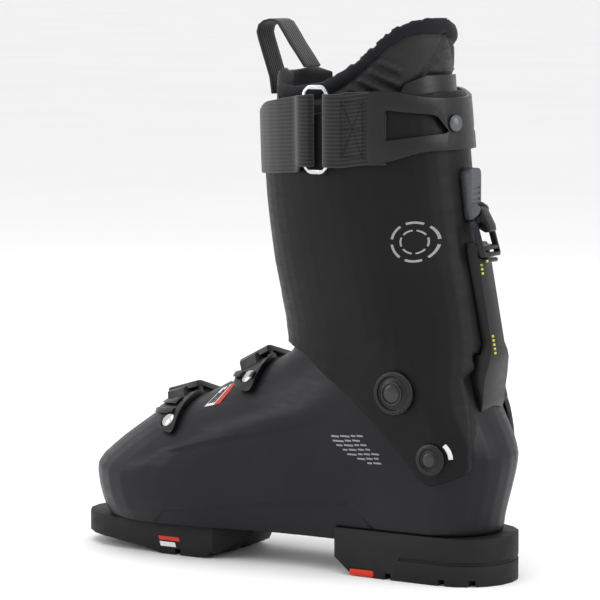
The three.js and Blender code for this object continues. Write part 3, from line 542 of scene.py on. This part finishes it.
def collar_detail(piece):
    """Padded rim roll, seam, slanted ribs on the sides and the stepped gusset at the back of the collar."""
    co = np.array([v.co[:] for v in piece.data.vertices])
    no = np.array([v.normal[:] for v in piece.data.vertices])
    x, y, z = co.T
    rim = np.minimum(line_height(x, RIM), 0.350 + 0.3 * y)
    deep = rim - z
    centre = np.stack([x - COLLAR_X, y], 1)
    outer = ramp((centre * no[:, :2]).sum(1) / np.maximum(np.linalg.norm(centre, axis=1), 1e-6), 0.1, 0.4)
    up = ramp(z, 0.296, 0.302)
    roll = np.clip(deep / ROLL, 0, 1)
    lift = 0.0022 * np.sin(np.pi * roll) ** 0.6 * (roll < 1)
    seam = -0.0018 * np.exp(-((deep - SEAM_AT) / SEAM_WIDE) ** 2)
    around = np.degrees(np.arctan2(np.abs(y) / COLLAR_B, (COLLAR_X - x) / COLLAR_A))
    slant = z - 0.55 * x
    ribs = np.cos(2 * np.pi * (slant - 0.3112) / RIB_PITCH)
    ribs = 0.0016 * np.clip(ribs * 1.6, -1, 1) * ramp(slant, 0.281, 0.284) * (1 - ramp(slant, 0.3145, 0.3165))
    ribs = ribs * ramp(around, 44, 50) * ramp(deep, 0.011, 0.014)
    leg_of_a = 22.0 * (0.343 - z) / 0.022
    groove = -0.0018 * np.exp(-((around - leg_of_a) / 3.0) ** 2) * ramp(deep, 0.008, 0.012)
    steps = 0.0010 * np.cos(2 * np.pi * z / STEP_PITCH) * (1 - ramp(around - leg_of_a, -6, -2))
    steps = steps * ramp(deep, 0.012, 0.016)
    co += no * (outer * up * (lift + seam + ribs + groove + steps))[:, None]
    piece.data.vertices.foreach_set("co", co.ravel())
    piece.data.update()
    knit = np.maximum(1 - outer, 0.5 + (0.0104 - deep) / 0.004)
    layer = piece.data.attributes.new("knit", "FLOAT", "POINT")
    layer.data.foreach_set("value", np.clip(knit, 0, 1).astype(np.float32))


liner = padded_from(["liner_foot", "liner_leg"], "padded_liner", 0.0042, 0.0002, 0.003, 0.295)
liner.data.materials.clear()
liner.data.materials.append(liner_cover)
collar_detail(liner)
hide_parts("liner_foot", "liner_leg")
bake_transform(liner)

tongue = padded_from(["tongue"], "padded_tongue", 0.004, 0.0004, 0.003, 0.28)
tongue.data.materials.clear()
tongue.data.materials.append(liner_cover)
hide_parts("tongue")
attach(tongue, "leg")


def strip_sheet(name, rows, thick, finish):
    """Woven strip from rows of points, each row across the strip, with its UV in metres."""
    mesh = bpy.data.meshes.new(name)
    across = len(rows[0])
    points = [p for row in rows for p in row]
    faces = [
        (i * across + j, i * across + j + 1, (i + 1) * across + j + 1, (i + 1) * across + j)
        for i in range(len(rows) - 1)
        for j in range(across - 1)
    ]
    mesh.from_pydata(points, [], faces)
    middle = [row[across // 2] for row in rows]
    run = [0.0]
    for a, b in zip(middle, middle[1:]):
        run.append(run[-1] + (Vector(b) - Vector(a)).length)
    layer = mesh.uv_layers.new(name="strip")
    for loop in mesh.loops:
        i, j = divmod(loop.vertex_index, across)
        height = (Vector(rows[i][j]) - Vector(rows[i][0])).length
        layer.data[loop.index].uv = (run[i], height)
    piece = bpy.data.objects.new(name, mesh)
    bpy.context.scene.collection.objects.link(piece)
    use(piece, "SOLIDIFY", thickness=thick, offset=0.0)
    use(piece, "BEVEL", width=thick * 0.3, segments=2, limit_method="ANGLE", angle_limit=math.radians(50))
    piece.data.materials.append(finish)
    only(piece)
    bpy.ops.object.shade_smooth_by_angle(angle=math.radians(40))
    return piece, run[-1]


def tree_of(piece):
    """Search tree of a piece's faces."""
    form = bmesh.new()
    form.from_mesh(piece.data)
    made = BVHTree.FromBMesh(form)
    form.free()
    return made


def outermost(search, centre, direction):
    """Farthest point of a closed piece along a ray from inside it."""
    start_at, found = Vector(centre), None
    for _ in range(12):
        hit = search.ray_cast(start_at, direction)
        if hit[0] is None:
            break
        found = hit[0]
        start_at = hit[0] + direction * 0.00005
    return found


band, cuff_faces = tree_of(frame["nodes"]["strap_band"]), tree_of(frame["nodes"]["cuff"])
CENTRE_X = 0.062
WEB_THICK = 0.0019
BAND_THICK = 0.0026
ACROSS = 9
low_edge = [(0.0246, 0.2608), (0.046, 0.2578), (0.072, 0.2548), (0.113, 0.2518), (0.14, 0.2514)]
high_edge = [
    (0.0246, 0.3055), (0.046, 0.3048), (0.072, 0.3026), (0.105, 0.2975), (0.117, 0.2917), (0.14, 0.2907),
]


def band_face(z, direction):
    """Outer face of the strap, carried across the slot in its ring by the cuff's own face."""
    hit = outermost(band, (CENTRE_X, 0.0, z), direction)
    if hit:
        return hit
    under = outermost(cuff_faces, (CENTRE_X, 0.0, z), direction)
    return under + direction * 0.003 if under else None


def strap_row(turn, lift, at_ring=0):
    """Points across the strap at an angle round the leg, its middle layer lifted off the cuff by lift."""
    direction = Vector((math.cos(math.radians(turn)), math.sin(math.radians(turn)), 0.0))
    hit = band_face(0.280, direction) or band_face(0.268, direction)
    low, high = line_height(hit.x, low_edge), line_height(hit.x, high_edge)
    if at_ring:
        low, high = max(low, 0.2588), min(high, 0.3040)
    row = []
    for j in range(ACROSS):
        z = low + (high - low) * j / (ACROSS - 1)
        at = band_face(min(max(z, low + 0.001), high - 0.001), direction) or hit
        at = at + direction * (lift - BAND_THICK)
        row.append((at.x, at.y, z))
    return row


def strap_piece(name, path):
    """One length of the strap, laid along its path and hung on the leg."""
    rows = [strap_row(*step) for step in path]
    piece = strip_sheet(name, rows, WEB_THICK, webbing)[0]
    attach(piece, "leg")
    return piece


# Steps of (angle, lift, at the ring): each length is turned up over its bar of the ring.
front_fold = [
    (91.3, 0.0015, 1), (91.0, 0.0044, 1), (89.9, 0.0062, 1), (87.8, 0.0069, 1), (85.2, 0.0069, 1),
    (82.8, 0.0060, 1), (80, 0.0038, 0), (76.5, 0.0019, 0),
]
front_path = front_fold + [(73.5 - 3 * i, 0.0015, 0) for i in range(70)]
strap = strap_piece("strap_webbing_front", front_path)
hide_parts("strap_band")
back_fold = [
    (114, 0.0019, 0), (111, 0.0038, 1), (108.8, 0.0060, 1), (106.6, 0.0069, 1), (104.0, 0.0069, 1),
    (101.8, 0.0062, 1), (100.6, 0.0044, 1), (100.3, 0.0015, 1),
]
back_path = [(137 - 3 * i, 0.0015, 0) for i in range(8)] + back_fold
anchor = strap_piece("strap_webbing_anchor", back_path)


THREAD_RADIUS = 0.00034


def stitch_beads(name, runs, pitch, search, inside, body, finish):
    """Rows of small thread beads, one bead copied along each line of (x, z) on the inner side."""
    bpy.ops.mesh.primitive_uv_sphere_add(segments=8, ring_count=5, radius=1.0)
    bead = bpy.context.object
    bead_mesh = bead.data
    form = bmesh.new()
    for start_at, end_at in runs:
        a, b = Vector((start_at[0], start_at[1])), Vector((end_at[0], end_at[1]))
        count = max(2, round((b - a).length / pitch))
        for i in range(count + 1):
            x, z = a.lerp(b, i / count)
            hit = search.ray_cast(Vector((x, inside, z)), Vector((0, -1, 0)))
            if hit[0] is None:
                continue
            along = Vector((b.x - a.x, 0, b.y - a.y)).normalized()
            normal = hit[1]
            along = (along - normal * along.dot(normal)).normalized()
            side = normal.cross(along)
            turn = Matrix((along, side, normal)).transposed().to_4x4()
            size = Matrix.Diagonal((pitch * 0.36, THREAD_RADIUS, THREAD_RADIUS, 1.0))
            piece = bead_mesh.copy()
            piece.transform(Matrix.Translation(hit[0] + normal * 0.0001) @ turn @ size)
            form.from_mesh(piece)
            bpy.data.meshes.remove(piece)
    bpy.data.objects.remove(bead)
    mesh = bpy.data.meshes.new(name)
    form.to_mesh(mesh)
    form.free()
    made = bpy.data.objects.new(name, mesh)
    bpy.context.scene.collection.objects.link(made)
    mesh.materials.append(finish)
    only(made)
    bpy.ops.object.shade_smooth()
    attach(made, body)


# Boxed cross with a bar across its middle.
LEFT, RIGHT, LOW, HIGH = 0.0395, 0.0270, 0.2655, 0.2995
box_runs = [
    ((LEFT, LOW), (LEFT, HIGH)), ((RIGHT, LOW), (RIGHT, HIGH)), ((LEFT, LOW), (RIGHT, LOW)),
    ((LEFT, HIGH), (RIGHT, HIGH)), ((LEFT, LOW), (RIGHT, HIGH)), ((LEFT, HIGH), (RIGHT, LOW)),
    ((LEFT, (LOW + HIGH) / 2), (RIGHT, (LOW + HIGH) / 2)),
]
stitch_beads("strap_stitches", box_runs, 0.0022, tree_of(anchor), 0.12, "leg", thread)

loop_line = [
    (118.4, 301), (119, 306), (120, 312), (124.9, 326), (128.4, 336), (129.6, 340.4), (128.4, 344.6),
    (125, 347), (120.8, 348), (117.2, 347.8), (114.2, 346.4), (110, 340.6), (105, 333.2), (99, 325.4),
    (94, 318.6),
]
LOOP_HALF = 9.6
loop_rows = [[Vector((x, y, z)) * MM for y in (-LOOP_HALF, -5, 0, 5, LOOP_HALF)] for x, z in loop_line]
loop, loop_length = strip_sheet("pull_loop_webbing", loop_rows, WEB_THICK, webbing)
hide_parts("pull_loop")
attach(loop, "leg")


# ---- printed marks: plain bars and dashes only ----
def printed(name, patches, search, body, finish, side=1, lift=0.00006, reach=0.12):
    """Thin ink on a face: each patch is a grid of (x, z) places, cast on to the surface from the side."""
    mesh = bpy.data.meshes.new(name)
    points, faces = [], []
    for patch in patches:
        base, across = len(points), len(patch[0])
        grid = []
        for row in patch:
            for x, z in row:
                hit = search.ray_cast(Vector((x, side * reach, z)), Vector((0, -side, 0)))
                grid.append(hit[0] + hit[1] * lift if hit[0] else None)
        if any(g is None for g in grid):
            continue
        points += grid
        for i in range(len(patch) - 1):
            for j in range(across - 1):
                k = base + i * across + j
                faces.append((k, k + 1, k + across + 1, k + across))
    mesh.from_pydata([tuple(p) for p in points], [], faces)
    made = bpy.data.objects.new(name, mesh)
    bpy.context.scene.collection.objects.link(made)
    form = bmesh.new()
    form.from_mesh(mesh)
    bmesh.ops.recalc_face_normals(form, faces=form.faces)
    for face in list(form.faces):
        if face.normal.y * side < 0:
            face.normal_flip()
    form.to_mesh(mesh)
    form.free()
    use(made, "SOLIDIFY", thickness=0.00012, offset=1.0)
    mesh.materials.append(finish)
    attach(made, body)
    return made


def bar(x0, x1, z0, z1, skew=0.0, count=6):
    """Grid for one straight bar, its ends slanted by skew."""
    return [
        [(x0 + (x1 - x0) * i / count + skew * j, z0 + (z1 - z0) * j) for i in range(count + 1)]
        for j in (0.0, 0.5, 1.0)
    ]


def arc(cx, cz, inner, outer, a0, a1, count=8):
    """Grid for one curved dash between two radii."""
    return [
        [
            (cx + r * math.cos(math.radians(a0 + (a1 - a0) * i / count)),
             cz + r * math.sin(math.radians(a0 + (a1 - a0) * i / count)))
            for i in range(count + 1)
        ]
        for r in (inner, (inner + outer) / 2, outer)
    ]


def quad(corners, count=6):
    """Grid over four (x, z) corners, given round the outline."""
    a, b, c, d = [Vector(p) for p in corners]
    return [
        [tuple(a.lerp(b, i / count).lerp(d.lerp(c, i / count), j / 3)) for i in range(count + 1)]
        for j in range(4)
    ]


def part_of(corners, u0, u1, v0, v1):
    """Corners of a smaller patch inside a four-cornered one."""
    a, b, c, d = [Vector(p) for p in corners]
    return [tuple(a.lerp(b, u).lerp(d.lerp(c, u), v)) for u, v in ((u0, v0), (u1, v0), (u1, v1), (u0, v1))]


DASH, DASH_PITCH = 0.0014, 0.0026


def edge_dashes(name, levels_at, y0, y1, search, body, finish):
    """Short bars on the rear face of the blade, cast from behind."""
    points, faces = [], []
    for z in levels_at:
        corners = [(y0, z), (y1, z), (y1, z + DASH), (y0, z + DASH)]
        hits = [search.ray_cast(Vector((-0.12, y, h)), Vector((1, 0, 0))) for y, h in corners]
        if any(hit[0] is None for hit in hits):
            continue
        faces.append(tuple(range(len(points), len(points) + 4)))
        points += [hit[0] + Vector((-0.0003, 0, 0)) for hit in hits]
    mesh = bpy.data.meshes.new(name)
    mesh.from_pydata([tuple(p) for p in points], [], faces)
    made = bpy.data.objects.new(name, mesh)
    bpy.context.scene.collection.objects.link(made)
    use(made, "SOLIDIFY", thickness=0.0005, offset=0.0)
    mesh.materials.append(finish)
    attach(made, body)


cuff_tree, shell_tree = tree_of(cuff), tree_of(shell)
MARK_AT = (-0.0012, 0.2135)
ring = [arc(*MARK_AT, 0.0112, 0.0126, 60 * i + 8, 60 * i + 52) for i in range(6)]
ring += [arc(*MARK_AT, 0.0066, 0.0076, 60 * i + 38, 60 * i + 82) for i in range(6)]
printed("cuff_care_mark", ring, cuff_tree, "leg", ink_grey)
UNIT, BAR, LINE_PITCH = 0.0011, 0.0011, 0.0029
lines = []
for i, (first, words) in enumerate([
    (0.0550, (5, 6, 3, 4)), (0.0540, (7, 4, 5)), (0.0515, (4, 6, 3, 4)), (0.0470, (3, 5, 4, 3)),
    (0.0440, (6, 3, 4, 5)), (0.0370, (5, 4, 3)), (0.0300, (3, 5)),
]):
    x, z = first, 0.0886 - LINE_PITCH * i
    for word in words:
        length = UNIT * word
        drop = 0.08 * (0.055 - x)
        lines.append(bar(x, x - length, z + drop, z + drop + BAR, 0.0003, 4))
        x -= length + 0.0009
printed("shell_spec_bars", lines, shell_tree, "foot", ink_grey)

label = [(0.1571, 0.0987), (0.1448, 0.1017), (0.1393, 0.1173), (0.1509, 0.1139)]
printed("shell_label_ground", [quad(part_of(label, 0.0, 0.62, 0, 1))], shell_tree, "foot", ink_white)
printed("shell_label_red", [quad(part_of(label, 0.66, 1.0, 0, 1))], shell_tree, "foot", nylon_red)
label_bars = [
    quad(part_of(label, 0.1 + 0.17 * i, 0.2 + 0.17 * i, 0.1, 0.5 + 0.12 * (i % 3))) for i in range(3)
]
printed("shell_label_bars", label_bars, shell_tree, "foot", sole_rubber, lift=0.0003)
blade_tree = tree_of(frame["nodes"]["rear_blade"])
dash_levels = [0.1435 + DASH_PITCH * i for i in range(5)] + [0.1925 + DASH_PITCH * i for i in range(4)]
edge_dashes("blade_dashes", dash_levels, 0.0052, 0.0074, blade_tree, "foot", ink_lime)
toe_tree = tree_of(frame["nodes"]["toe_sole"])
printed("sole_tag_red", [bar(0.174, 0.190, 0.0092, 0.0118, 0.001)], toe_tree, "foot", nylon_red)
printed("sole_tag_white", [bar(0.177, 0.189, 0.0052, 0.0082, 0.001)], toe_tree, "foot", ink_white)
